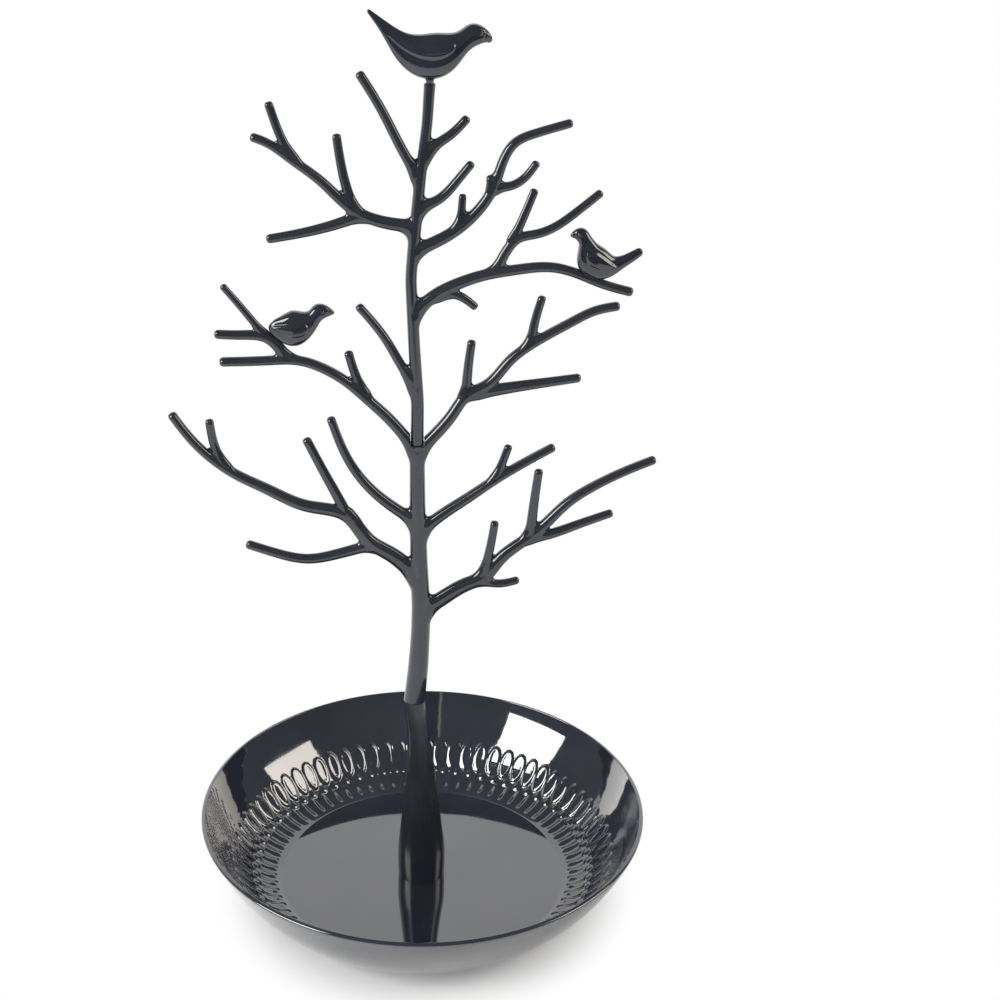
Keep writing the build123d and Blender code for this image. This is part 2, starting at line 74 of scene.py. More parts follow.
# Limbs: name: (what it grows from, root width, tip width, [(X, height over the seat), ...])
lower_limbs = {
    "left_low": ("trunk", 6.0, 3.0, [
        (-1.6, 45.5), (-10.8, 55.0), (-17.6, 59.9), (-25.2, 69.6), (-36.9, 73.0),
        (-49.0, 79.0), (-59.4, 84.9), (-73.1, 98.0), (-78.2, 105.9)]),
    "left_low_drooping": ("left_low", 3.9, 3.1, [
        (-16.8, 58.7), (-27.7, 55.7), (-37.3, 54.2), (-47.4, 56.6), (-56.5, 60.1)]),
    "left_low_riser": ("left_low", 3.8, 3.0, [
        (-23.0, 66.0), (-27.4, 75.7), (-32.3, 86.0), (-37.1, 96.5)]),
    "left_low_spur": ("left_low", 3.2, 2.8, [(-62.2, 87.0), (-65.3, 94.5), (-66.7, 103.6)]),
    "left_middle": ("trunk", 4.1, 2.9, [(-2.4, 66.3), (-16.6, 78.0), (-23.8, 88.4), (-29.4, 103.5)]),
    "left_bird_limb": ("trunk", 4.0, 3.0, [
        (-2.5, 91.0), (-11.0, 102.4), (-17.7, 109.3), (-24.8, 115.9), (-31.7, 120.3),
        (-38.4, 122.8), (-47.5, 123.1), (-62.6, 122.9)]),
    "left_bird_limb_twig": ("left_bird_limb", 3.3, 2.9, [(-18.6, 110.5), (-21.8, 118.6), (-23.7, 125.5)]),
    "left_perch": ("left_bird_limb", 4.2, 3.0, [
        (-41.4, 122.0), (-44.4, 126.9), (-48.6, 130.7), (-56.0, 131.6), (-63.8, 132.0)]),
    "left_perch_twig": ("left_perch", 2.6, 2.3, [(-49.2, 131.6), (-54.8, 139.4), (-61.1, 147.6)]),
    "right_low": ("trunk", 5.8, 2.9, [
        (-0.9, 34.0), (5.5, 38.1), (12.9, 42.9), (19.5, 46.2), (24.1, 51.9), (30.5, 57.6),
        (37.2, 63.0), (45.2, 71.5), (54.5, 78.0), (63.9, 82.8), (73.2, 86.7)]),
    "right_low_twig": ("right_low", 3.3, 2.8, [(18.8, 45.8), (21.2, 56.8), (22.5, 65.8)]),
    "right_low_stub": ("right_low", 3.0, 2.6, [(17.9, 45.4), (22.6, 43.4), (30.5, 44.4)]),
    "right_low_riser": ("right_low", 3.7, 2.9, [(34.0, 60.3), (35.0, 73.0), (36.2, 83.9)]),
    "right_low_fork": ("right_low", 3.9, 2.9, [(33.2, 59.7), (40.0, 60.8), (48.1, 63.6), (60.2, 68.0)]),
    "right_middle": ("trunk", 4.2, 2.9, [
        (-1.8, 62.8), (6.8, 69.8), (14.1, 74.9), (21.3, 80.1), (28.5, 84.8), (40.7, 91.9)]),
    "right_middle_twig": ("right_middle", 3.1, 2.7, [(22.4, 80.9), (24.7, 87.4), (26.4, 92.6)]),
    "right_high": ("trunk", 4.3, 3.0, [
        (-2.5, 91.0), (4.3, 98.3), (8.8, 104.3), (13.0, 110.2), (19.0, 113.6), (25.8, 121.3),
        (31.0, 125.8), (44.9, 134.1), (51.9, 137.6), (59.3, 139.1)]),
    "right_high_twig": ("right_high", 3.5, 2.8, [(12.6, 110.0), (13.2, 119.8), (14.2, 128.4)]),
    "right_high_fork": ("right_high", 4.8, 3.0, [(13.8, 110.4), (24.1, 112.2), (35.0, 113.7), (48.1, 115.4)]),
    "right_high_riser": ("right_high", 3.3, 2.7, [(32.3, 126.3), (33.4, 134.0), (35.6, 142.5)]),
}
upper_limbs = {
    "left_lowest": ("trunk", 3.4, 2.8, [(-2.7, 18.6), (-8.4, 28.4), (-11.9, 34.9), (-20.5, 46.5)]),
    "left_wide": ("trunk", 4.4, 2.8, [
        (-3.6, 71.5), (-12.9, 73.0), (-21.2, 76.6), (-31.7, 86.4), (-39.4, 92.4), (-47.1, 97.9), (-51.1, 99.5)]),
    "left_wide_riser": ("left_wide", 3.4, 2.8, [(-21.6, 76.9), (-24.2, 86.2), (-26.4, 99.9)]),
    "left_wide_level": ("left_wide", 3.9, 2.9, [(-18.6, 75.4), (-26.8, 72.5), (-37.5, 69.8), (-47.3, 68.1)]),
    "left_wide_twig": ("left_wide", 3.1, 2.7, [(-38.8, 92.0), (-42.1, 98.5), (-45.9, 109.6)]),
    "left_top": ("trunk", 3.4, 2.9, [(-2.4, 86.6), (-7.2, 95.2), (-13.5, 107.8), (-19.7, 118.2)]),
    "right_bird_limb": ("trunk", 4.4, 3.0, [
        (-4.4, 42.8), (3.7, 50.1), (9.4, 53.0), (18.2, 55.9), (27.0, 57.3), (38.5, 57.9),
        (44.4, 56.4), (53.5, 52.5), (63.1, 49.5)]),
    "right_bird_limb_stub": ("right_bird_limb", 3.8, 2.6, [(3.0, 49.3), (8.8, 49.7), (12.4, 47.8), (15.3, 45.3)]),
    "right_bird_limb_fork": ("right_bird_limb", 3.5, 2.7, [
        (21.0, 56.6), (24.1, 63.2), (27.9, 67.4), (32.5, 68.5), (38.3, 70.6), (44.0, 74.6), (52.3, 81.5)]),
    "right_bird_limb_twig": ("right_bird_limb_fork", 3.1, 2.7, [(26.0, 66.6), (29.1, 74.0), (32.3, 82.5)]),
    "right_wide": ("trunk", 4.3, 2.8, [
        (-3.8, 63.6), (6.5, 68.6), (11.1, 71.9), (15.9, 76.8), (20.0, 83.5), (22.3, 90.6),
        (26.2, 97.1), (32.0, 99.8), (42.7, 102.9)]),
    "right_wide_stub": ("right_wide", 2.9, 2.4, [(10.2, 71.4), (10.8, 81.2)]),
    "right_wide_spur": ("right_wide", 2.6, 1.9, [(20.0, 83.2), (18.7, 86.6)]),
    "right_wide_twig": ("right_wide", 3.1, 2.6, [(20.6, 83.4), (25.4, 83.9), (29.3, 86.4), (32.7, 91.0)]),
    "right_top_low": ("trunk", 3.6, 2.7, [(-3.0, 77.2), (3.8, 80.0), (8.8, 85.2), (13.4, 91.0)]),
    "right_top_high": ("trunk", 3.6, 2.8, [(-1.2, 93.0), (3.3, 97.0), (7.1, 99.7), (11.9, 104.7)]),
}

# How limbs are drawn: fillets are (outer, inner) where a limb leaves its parent
limb_depth = 4.0
set_back = 0.25
depth_taper = 0.84
bevel_reach = 1.46
root_taper = 1.6
tip_reach = 0.35
trunk_fillets = (4.2, 2.2)
limb_fillets = (3.0, 1.8)
flat_spacing = 0.2

# Birds: (X, height over the seat, half height, half thickness, lean of the section in degrees), tail to beak
top_bird_stations = [
    (-17.1, 21.4, 0.5, 0.4, 42.0), (-12.4, 16.5, 1.7, 0.9, 41.0), (-8.0, 12.0, 3.5, 2.0, 40.0),
    (-3.2, 9.0, 5.8, 3.4, 24.0), (2.1, 8.0, 6.7, 4.1, 8.0), (6.9, 9.2, 5.4, 3.9, -4.0),
    (10.4, 12.1, 3.5, 2.9, -16.0), (13.6, 14.2, 3.2, 2.7, -12.0), (16.2, 14.1, 2.3, 1.9, 0.0),
    (17.7, 13.1, 1.3, 1.0, 24.0), (18.5, 12.1, 0.7, 0.5, 44.0)]
left_bird_stations = [
    (-47.6, 134.4, 1.4, 0.8, 20.0), (-44.6, 134.1, 3.7, 2.0, 16.0), (-41.0, 133.6, 5.5, 3.2, 6.0),
    (-37.4, 133.8, 4.9, 3.3, -2.0), (-34.6, 135.8, 3.4, 2.5, -14.0), (-32.0, 138.7, 2.6, 2.1, -10.0),
    (-30.0, 138.8, 1.8, 1.4, 5.0), (-27.7, 138.3, 0.3, 0.3, 10.0)]
right_bird_stations = [
    (65.6, 63.1, 1.2, 0.8, -28.0), (62.6, 61.1, 1.6, 1.0, -26.0), (59.3, 59.2, 2.1, 1.3, -12.0),
    (55.6, 57.8, 3.8, 2.3, 18.0), (51.4, 59.4, 5.1, 3.2, 36.0), (48.7, 62.4, 4.3, 3.1, 44.0),
    (47.7, 65.6, 3.2, 2.4, 34.0), (46.6, 68.0, 2.4, 2.0, 16.0), (45.1, 68.4, 1.6, 1.2, 0.0),
    (43.4, 68.0, 0.3, 0.3, -10.0)]

# Dish
floor_height = 5.0
floor_under = 3.0
floor_radius = 48.5
seam = (58.3, 9.25)
rim = (73.9, 32.5)
wall_centre = (4.895, 61.883)
wall_bulge = 75.0
wall_thickness = 1.6
rim_round = 0.7
foot_ring = (44.3, 46.5)
hole_radius = 1.8
hole_shift = -0.5

# Relief of the dish: run is the way along the wall's section from the floor's edge
oval_count = 76
oval_half = 5.75
oval_middle = 16.05
oval_height = 0.5
oval_dip = 0.06
rib_height = 0.46
bead_run = 9.7
bead_radius = 1.8
bead_height = 0.6
relief_top = 66.9
relief_rows = 70
fine_columns = 12 * oval_count
coarse_columns = 3 * oval_count


# Distance fields

def union(first, second, fillet):
    """Smaller of two distances, with a fillet where they meet."""
    mix = np.maximum(fillet - np.abs(first - second), 0) / fillet
    return np.minimum(first, second) - mix * mix * fillet / 4


def common(first, second, rounding):
    """Larger of two distances, with a rounded edge where they meet."""
    return -union(-first, -second, rounding)


def smooth_step(value):
    value = np.clip(value, 0, 1)
    return value * value * (3 - 2 * value)


def section_level(u, v, form="bevel"):
    """1 on the outline of a section of half width and half depth 1, less inside it."""
    if form == "oval":
        return np.hypot(u, v)
    if form == "bevel":
        return (u ** 6 + v ** 6 + ((u + v) / bevel_reach) ** 6) ** (1 / 6)
    power = {"bird": 2.5, "square": 16}[form]
    return (u ** power + v ** power) ** (1 / power)


def run_along(points):
    """Length of a route up to each of its points."""
    return np.concatenate([[0], np.cumsum(np.hypot(*np.diff(points, axis=0).T))])


def spline_rows(rows, spacing):
    """Rows of numbers, resampled evenly along a natural cubic spline through them. X and Z come first."""
    rows = np.array(rows, float)
    knots = run_along(rows[:, :2])
    gaps = np.diff(knots)
    count = len(rows)
    system = np.eye(count)
    right = np.zeros(rows.shape)
    for i in range(1, count - 1):
        system[i, i - 1:i + 2] = gaps[i - 1], 2 * (gaps[i - 1] + gaps[i]), gaps[i]
        right[i] = 6 * ((rows[i + 1] - rows[i]) / gaps[i] - (rows[i] - rows[i - 1]) / gaps[i - 1])
    bend = np.linalg.solve(system, right)
    fine = np.linspace(0, knots[-1], int(knots[-1] / spacing * 6) + 2)
    i = np.clip(np.searchsorted(knots, fine, side="right") - 1, 0, count - 2)
    a = ((knots[i + 1] - fine) / gaps[i])[:, None]
    b = 1 - a
    line = a * rows[i] + b * rows[i + 1]
    line += ((a ** 3 - a) * bend[i] + (b ** 3 - b) * bend[i + 1]) * (gaps[i] ** 2)[:, None] / 6
    run = run_along(line[:, :2])
    even = np.linspace(0, run[-1], int(run[-1] / spacing) + 2)
    return np.stack([np.interp(even, run, column) for column in line.T], 1), even


class Rod:
    """A rod along a route in the XZ plane, with beveled, square or oval sections and flat or round ends."""

    def __init__(self, centres, ahead, across, half_width, half_depth, form="bevel", tip=0.0, tail=0.0, edge=0.3,
                 blunt=2.0):
        self.centres, self.ahead, self.across = centres, ahead, across
        self.half_width, self.half_depth, self.form = half_width, half_depth, form
        self.tip, self.tail, self.edge, self.blunt = tip, tail, edge, blunt
        self.run = run_along(centres)
        reach = half_width.max() + FAR
        self.low = centres.min(0) - reach
        self.high = centres.max(0) + reach

    def place(self, points):
        """Where points lie on the rod: run, lean across, the section's half sizes and how far past an end."""
        offset = points[:, None, [0, 2]] - self.centres[None]
        gap = (offset * self.ahead[None]).sum(2)
        span = (offset ** 2).sum(2)
        crossing = (gap[:, :-1] >= 0) & (gap[:, 1:] < 0)
        cost = np.where(crossing, span[:, :-1], 1e9)
        cost = np.concatenate([
            np.where(gap[:, :1] < 0, span[:, :1], 1e9), cost, np.where(gap[:, -1:] >= 0, span[:, -1:], 1e9)], 1)
        pick = cost.argmin(1)
        rows = np.arange(len(points))
        i = np.clip(pick - 1, 0, len(self.centres) - 2)
        here = gap[rows, i]
        beyond = gap[rows, i + 1]
        share = here / np.where(here == beyond, 1, here - beyond)
        share = np.where(pick == 0, 0.0, np.where(pick == len(self.centres), 1.0, np.clip(share, 0, 1)))
        before = np.where(pick == 0, -gap[:, 0], -FAR)
        after = np.where(pick == len(self.centres), gap[:, -1], -FAR)

        def mix(values):
            return values[i] + (values[i + 1] - values[i]) * (share if values.ndim == 1 else share[:, None])

        across = mix(self.across)
        lean = ((points[:, [0, 2]] - mix(self.centres)) * across).sum(1)
        run = mix(self.run) + np.maximum(after, 0) - np.maximum(before, 0)
        return run, lean, mix(self.half_width), mix(self.half_depth), before, after

    def rounded(self, level, run):
        """Section level with the rod's round ends."""
        for end, past in ((self.tip, run - self.run[-1] + self.tip), (self.tail, self.tail - run)):
            if end:
                level = (level ** self.blunt + (np.maximum(past, 0) / end) ** self.blunt) ** (1 / self.blunt)
        return level

    def flat(self, points):
        """Distance in the XZ plane from the rod's outline, with the run, lean and half sizes there."""
        run, lean, width, depth, before, after = self.place(points)
        value = (self.rounded(np.abs(lean) / width, run) - 1) * width
        for end, past in ((self.tip, after), (self.tail, before)):
            value = value if end else np.maximum(value, past)
        return value, run, lean, width, depth

    def distance(self, points, detail=None):
        """Signed distance from the rod's surface, and FAR for points well away from it."""
        result = np.full(len(points), FAR)
        near = ((points[:, [0, 2]] > self.low) & (points[:, [0, 2]] < self.high)).all(1)
        if not near.any():
            return result
        p = points[near]
        run, lean, width, depth, before, after = self.place(p)
        level = section_level(np.abs(lean) / width, np.abs(p[:, 1]) / depth, self.form)
        value = (self.rounded(level, run) - 1) * np.minimum(width, depth)
        for end, past in ((self.tip, after), (self.tail, before)):
            if not end:
                value = np.where(past > -self.edge, common(value, past, self.edge), value)
        if detail is not None:
            value = value - detail(p, run, lean / width, p[:, 1] / depth)
        result[near] = np.minimum(value, FAR)
        return result

    def rings(self):
        """Corner rings for the rod's rough mesh."""
        turns = 2 * math.pi * (np.arange(8) + 0.5) / 8
        side = np.cos(turns) * 1.03
        face = np.sin(turns) * 1.03
        rings = []
        length = self.run[-1]
        for i, centre in enumerate(self.centres):
            size = 1.0
            for end, past in ((self.tip, self.run[i] - length + self.tip), (self.tail, self.tail - self.run[i])):
                if end:
                    size = min(size, math.sqrt(max(0.05, 1 - max(0, past) ** 2 / end ** 2)))
            flat = centre + np.outer(side * self.half_width[i] * size, self.across[i])
            rings.append(np.stack([flat[:, 0], face * self.half_depth[i] * size, flat[:, 1]], 1))
        return rings


def post(x, low, high, half_width, half_depth, form):
    """Upright rod."""
    two = np.ones(2)
    return Rod(np.array([(x, low), (x, high)]), np.array([(0.0, 1.0)] * 2), np.array([(1.0, 0.0)] * 2),
               two * half_width, two * half_depth, form)


def column(stations, seat, edge=0.3):
    """One length of trunk, with its stations joined smoothly."""
    table = np.array(stations, float)
    heights = np.arange(0, table[-1, 1] + 0.4, 0.8)
    heights[-1] = table[-1, 1]
    columns = []
    for i in (0, 2, 3):
        value = np.interp(heights, table[:, 1], table[:, i])
        padded = np.concatenate([2 * value[0] - value[6:0:-1], value, 2 * value[-1] - value[-2:-8:-1]])
        columns.append(np.convolve(padded, np.hanning(15)[1:-1] / np.hanning(15).sum(), "valid"))
    shift, width, depth = columns
    centres = np.stack([shift, seat + heights], 1)
    count = len(heights)
    return Rod(centres, np.tile((0.0, 1.0), (count, 1)), np.tile((1.0, 0.0), (count, 1)), width / 2, depth / 2,
               edge=edge)


def grow(table, trunk, seat):
    """Rods for all the limbs of one trunk length: (rod, its parent's half width and growth, its two fillets)."""
    grown = {"trunk": (trunk, 1.0, np.array((0.0, 1.0)), (1.0, 1.0))}
    for name, (parent, root_width, tip_width, points) in table.items():
        base = grown[parent][0]
        root = np.array([[points[0][0], 0, seat + points[0][1]]])
        run, _, parent_width, parent_depth, _, _ = base.place(root)
        at = min(int(run[0] / base.run[-1] * (len(base.run) - 1) + 0.5), len(base.run) - 1)
        depth = min(limb_depth, 2 * parent_depth[0] - 2 * set_back)
        rows, run = spline_rows([(x, seat + z) for x, z in points], 0.8)
        ahead = np.gradient(rows, axis=0)
        ahead /= np.linalg.norm(ahead, axis=1, keepdims=True)
        share = run / run[-1]
        across = np.stack([ahead[:, 1], -ahead[:, 0]], 1)
        width = (tip_width + (root_width - tip_width) * (1 - share) ** root_taper) / 2
        slim = min(width[0], 0.9 * parent_width[0])
        width = slim + (width - slim) * smooth_step(run / (1.6 * parent_width[0]))
        thickness = depth / 2 * (1 + share * (depth_taper - 1))
        rod = Rod(np.concatenate([rows, rows[-1:] + ahead[-1:] * tip_reach]), np.append(ahead, ahead[-1:], 0),
                  np.append(across, across[-1:], 0), np.append(width, width[-1]), np.append(thickness, thickness[-1]),
                  tip=tip_width / 2, tail=0.8 * parent_width[0], blunt=2.6)
        grown[name] = (rod, parent_width[0], base.ahead[at], trunk_fillets if parent == "trunk" else limb_fillets)
    return list(grown.values())


def flat_tables(limbs):
    """Distance from the outline of all limbs together, and their half sizes, over a grid in the XZ plane."""
    low = np.min([limb[0].low for limb in limbs], 0)
    high = np.max([limb[0].high for limb in limbs], 0)
    xs, zs = (np.arange(low[k], high[k], flat_spacing) for k in (0, 1))
    x, z = np.meshgrid(xs, zs, indexing="ij")
    total, wide, deep, weight = (np.full(x.shape, start) for start in (FAR, 2e-9, 2e-9, 1e-9))
    for rod, parent_width, growth, (outer, inner) in limbs:
        side = np.array((growth[1], -growth[0]))
        out = rod.centres[min(len(rod.centres) - 1, 2 + int(2.5 * parent_width))] - rod.centres[0]
        side = side * math.copysign(1, out @ side)
        for i in range(0, len(xs), 60):
            for k in range(0, len(zs), 60):
                part = (slice(i, i + 60), slice(k, k + 60))
                if (x[part].max() < rod.low[0] or x[part].min() > rod.high[0]
                        or z[part].max() < rod.low[1] or z[part].min() > rod.high[1]):
                    continue
                points = np.stack([x[part].ravel(), np.zeros(x[part].size), z[part].ravel()], 1)
                value, run, lean, width, depth = rod.flat(points)
                value = np.minimum(value, FAR)
                here = total[part].ravel()
                toward = np.clip(lean / width, -1.5, 1.5) * (rod.across[0] @ np.array(growth))
                fillet = outer + (inner - outer) * smooth_step(0.5 + toward)
                beside = (points[:, [0, 2]] - rod.centres[0]) @ side
                fillet = fillet * smooth_step(0.1 + beside / parent_width) * (1 - smooth_step(run / outer / 0.8 - 2.1))
                fillet = fillet + 0.05
                total[part] = union(here, value, fillet).reshape(x[part].shape)
                share = np.exp(-np.clip(value, -3, FAR) / 0.8)
                weight[part] += share.reshape(x[part].shape)
                wide[part] += (share * width).reshape(x[part].shape)
                deep[part] += (share * depth).reshape(x[part].shape)
    return low, total, wide / weight, deep / weight


def looked_up(tables, points):
    """Values of the grid's tables at points, mixed from the four nearest."""
    low, *values = tables
    place = (points[:, [0, 2]] - low) / flat_spacing
    most = np.array(values[0].shape) - 2
    cell = np.clip(place.astype(int), 0, most)
    u, v = np.clip(place - cell, 0, 1).T
    i, k = cell.T
    return [(table[i, k] * (1 - u) + table[i + 1, k] * u) * (1 - v)
            + (table[i, k + 1] * (1 - u) + table[i + 1, k + 1] * u) * v for table in values]


# Meshes

def new_mesh(name, points, faces):
    mesh = bpy.data.meshes.new(name)
    mesh.from_pydata(points, [], faces)
    return mesh


def linked(name, data):
    """New object in the scene."""
    made = bpy.data.objects.new(name, data)
    bpy.context.scene.collection.objects.link(made)
    return made


def tube_mesh(tubes, order=1):
    """Closed tubes as one mesh, each from its rings."""
    points = []
    faces = []
    for rings in tubes:
        start = len(points)
        around = len(rings[0])
        for ring in rings:
            points.extend(map(tuple, ring))
        last = len(points) - around
        for low in range(start, last, around):
            for j in range(around):
                k = (j + 1) % around
                faces.append((low + j, low + around + j, low + around + k, low + k)[::order])
        faces.append(tuple(range(start, start + around))[::order])
        faces.append(tuple(range(last, last + around))[::-order])
    return new_mesh("tubes", points, faces)


def with_modifiers(mesh, add):
    """New mesh, from a mesh with the modifiers that add() puts on it."""
    holder = linked("holder", mesh)
    add(holder)
    graph = bpy.context.evaluated_depsgraph_get()
    result = bpy.data.meshes.new_from_object(holder.evaluated_get(graph))
    bpy.data.objects.remove(holder)
    return result


def settled(points, field):
    """Points moved onto the surface where the field is nought."""
    probe = 0.01
    for _ in range(4):
        value = field(points)
        slope = np.stack([field(points + step) - value for step in np.eye(3) * probe], 1) / probe
        move = slope * (value / np.maximum((slope ** 2).sum(1), 0.1))[:, None]
        length = np.linalg.norm(move, axis=1, keepdims=True)
        points = points - move * np.minimum(1, 0.35 / np.maximum(length, 1e-9))
    return points


def relaxed(points, edges, rounds):
    """Points evened out towards their neighbours."""
    count = np.bincount(edges.ravel(), minlength=len(points))[:, None]
    for _ in range(rounds):
        total = np.zeros_like(points)
        for a, b in ((0, 1), (1, 0)):
            for axis in range(3):
                total[:, axis] += np.bincount(edges[:, a], points[edges[:, b], axis], len(points))
        points = points + 0.5 * (total / count - points)
    return points


def net_mesh(field, low, high, spacing):
    """Even mesh of the field's surface inside a box, started from the grid's cells that the surface crosses."""
    lines = [np.arange(a, b, spacing) for a, b in zip(low, high)]
    inside = np.empty([len(line) for line in lines], bool)
    for i, x in enumerate(lines[0]):
        y, z = np.meshgrid(lines[1], lines[2], indexing="ij")
        inside[i] = (field(np.stack([np.full(y.size, x), y.ravel(), z.ravel()], 1)) < 0).reshape(y.shape)
    count = sum(inside[i:len(lines[0]) - 1 + i, j:len(lines[1]) - 1 + j, k:len(lines[2]) - 1 + k].astype(int)
                for i in (0, 1) for j in (0, 1) for k in (0, 1))
    crossed = (count > 0) & (count < 8)
    index = np.full(count.shape, -1)
    index[crossed] = np.arange(crossed.sum())
    points = (np.argwhere(crossed) + 0.5) * spacing + low
    quads = []
    for a in range(3):
        b, c = (a + 1) % 3, (a + 2) % 3
        first, second = (np.moveaxis(inside, a, 0)[part] for part in (slice(None, -1), slice(1, None)))
        where = np.argwhere(np.moveaxis(first != second, 0, a))
        outward = inside[tuple(where.T)]
        corners = []
        for back_b, back_c in ((1, 1), (0, 1), (0, 0), (1, 0)):
            cell = where.copy()
            cell[:, b] -= back_b
            cell[:, c] -= back_c
            corners.append(index[tuple(cell.T)])
        quad = np.stack(corners, 1)
        quad[~outward] = quad[~outward][:, ::-1]
        quads.append(quad)
    return grown_mesh(new_mesh("net", points, np.concatenate(quads).tolist()), field, spacing)


def grown_mesh(rough, field, voxel):
    """Even closed mesh of the field's surface, from a rough mesh of it."""
    def remesh(holder):
        modifier = holder.modifiers.new("voxels", "REMESH")
        modifier.mode = "VOXEL"
        modifier.voxel_size = voxel

    mesh = with_modifiers(rough, remesh)
    points = np.empty(len(mesh.vertices) * 3)
    mesh.vertices.foreach_get("co", points)
    points = points.reshape(-1, 3)
    edges = np.empty(len(mesh.edges) * 2, dtype=np.int32)
    mesh.edges.foreach_get("vertices", edges)
    edges = edges.reshape(-1, 2)
    for _ in range(2):
        points = settled(relaxed(points, edges, 2), field)
    mesh.vertices.foreach_set("co", points.ravel())
    return mesh


def cut_mesh(mesh, cutters):
    """Mesh less the cutters, one by one: upright prisms as (X, low, high, half width, half depth, sides)."""
    for cutter in cutters:
        tool = linked("cutter", prism(*cutter))

        def cut(holder):
            modifier = holder.modifiers.new("cut", "BOOLEAN")
            modifier.operation = "DIFFERENCE"
            modifier.solver = "EXACT"
            modifier.object = tool

        mesh = with_modifiers(mesh, cut)
        bpy.data.objects.remove(tool)
    return mesh


def prism(x, low, high, width, depth, sides):
    """Mesh of an upright square or round prism, from its half width and half depth."""
    scale = math.sqrt(2) if sides == 4 else 1
    turns = [2 * math.pi * (i + 0.5) / sides for i in range(sides)]
    rings = [[(x + scale * width * math.cos(turn), scale * depth * math.sin(turn), z) for turn in turns]
             for z in (low, high)]
    return tube_mesh([rings], -1)


def piece(name, mesh, body, material, node):
    """Object for a mesh in millimetres, riding on a body in place of a CAD node."""
    mesh.transform(Matrix.Scale(MM, 4))
    mesh.name = name
    for face in mesh.polygons:
        face.use_smooth = True
    mesh.set_sharp_from_angle(angle=math.radians(50))
    mesh.materials.clear()
    mesh.materials.append(material)
    made = linked(name, mesh)
    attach(made, body)
    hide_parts(node)


# Materials

def material_nodes(name):
    """Material with only an output, and its nodes and links."""
    material = bpy.data.materials.new(name)
    material.use_nodes = True
    tree = material.node_tree
    tree.nodes.clear()
    output = tree.nodes.new("ShaderNodeOutputMaterial")
    return material, tree.nodes, tree.links, output


def with_inputs(node, **values):
    """Node with the values of its inputs set. A space in an input's name is written as _."""
    for name, value in values.items():
        node.inputs[name.replace("_", " ")].default_value = value
    return node


def noise(nodes, links, coordinates, scale, detail):
    """Noise over the object's own coordinates."""
    node = with_inputs(nodes.new("ShaderNodeTexNoise"), Scale=scale, Detail=detail)
    links.new(coordinates.outputs["Object"], node.inputs["Vector"])
    return node.outputs["Fac"]


def mixed(nodes, links, share, first, second, output):
    """Mix of two shaders, put on an output."""
    mix = nodes.new("ShaderNodeMixShader")
    links.new(share, mix.inputs["Fac"])
    links.new(first.outputs[0], mix.inputs[1])
    links.new(second.outputs[0], mix.inputs[2])
    links.new(mix.outputs["Shader"], output.inputs["Surface"])


def faded(nodes, links, value, near, far):
    """Smooth rise from 0 at near to 1 at far."""
    fade = with_inputs(nodes.new("ShaderNodeMapRange"), From_Min=near, From_Max=far)
    fade.interpolation_type = "SMOOTHSTEP"
    links.new(value, fade.inputs["Value"])
    return fade.outputs["Result"]


def ramped(nodes, links, value, dark, light, start=0.0, end=1.0):
    """Colour between two colours, by a value from start to end."""
    ramp = nodes.new("ShaderNodeValToRGB")
    for element, place, colour in zip(ramp.color_ramp.elements, (start, end), (dark, light)):
        element.position = place
        element.color = (*colour, 1)
    links.new(value, ramp.inputs["Fac"])
    return ramp.outputs["Color"]


def spread_over(nodes, links, value, low, high, start=0.0, end=1.0):
    """Value taken from start to end onto low to high."""
    spread = with_inputs(nodes.new("ShaderNodeMapRange"), From_Min=start, From_Max=end, To_Min=low, To_Max=high)
    links.new(value, spread.inputs["Value"])
    return spread.outputs["Result"]


def gloss_plastic(name, dark, light, coat, gloss, smooth, rough, wave):
    """Black moulded plastic: faint colour drift, uneven gloss and the slow waves of a moulded skin."""
    material, nodes, links, output = material_nodes(name)
    shader = with_inputs(nodes.new("ShaderNodeBsdfPrincipled"), IOR=gloss, Coat_Weight=coat, Coat_Roughness=0.03,
                         Coat_IOR=gloss)
    coordinates = nodes.new("ShaderNodeTexCoord")
    drift = noise(nodes, links, coordinates, 55.0, 3.0)
    links.new(ramped(nodes, links, drift, dark, light, 0.35, 0.7), shader.inputs["Base Color"])
    uneven = noise(nodes, links, coordinates, 240.0, 4.0)
    links.new(spread_over(nodes, links, uneven, smooth, rough, 0.3, 0.7), shader.inputs["Roughness"])
    waves = noise(nodes, links, coordinates, 70.0, 1.0)
    bump = with_inputs(nodes.new("ShaderNodeBump"), Strength=wave, Distance=0.0005)
    links.new(waves, bump.inputs["Height"])
    links.new(bump.outputs["Normal"], shader.inputs["Normal"])
    links.new(bump.outputs["Normal"], shader.inputs["Coat Normal"])
    links.new(shader.outputs["BSDF"], output.inputs["Surface"])
    return material


def zinc(name):
    """Bright zinc plate with a slightly mottled skin."""
    material, nodes, links, output = material_nodes(name)
    shader = with_inputs(nodes.new("ShaderNodeBsdfPrincipled"), Metallic=1.0)
    coordinates = nodes.new("ShaderNodeTexCoord")
    mottle = noise(nodes, links, coordinates, 600.0, 5.0)
    colour = ramped(nodes, links, mottle, (0.5, 0.5, 0.48), (0.72, 0.72, 0.7))
    links.new(colour, shader.inputs["Base Color"])
    links.new(spread_over(nodes, links, mottle, 0.2, 0.42), shader.inputs["Roughness"])
    links.new(shader.outputs["BSDF"], output.inputs["Surface"])
    return material


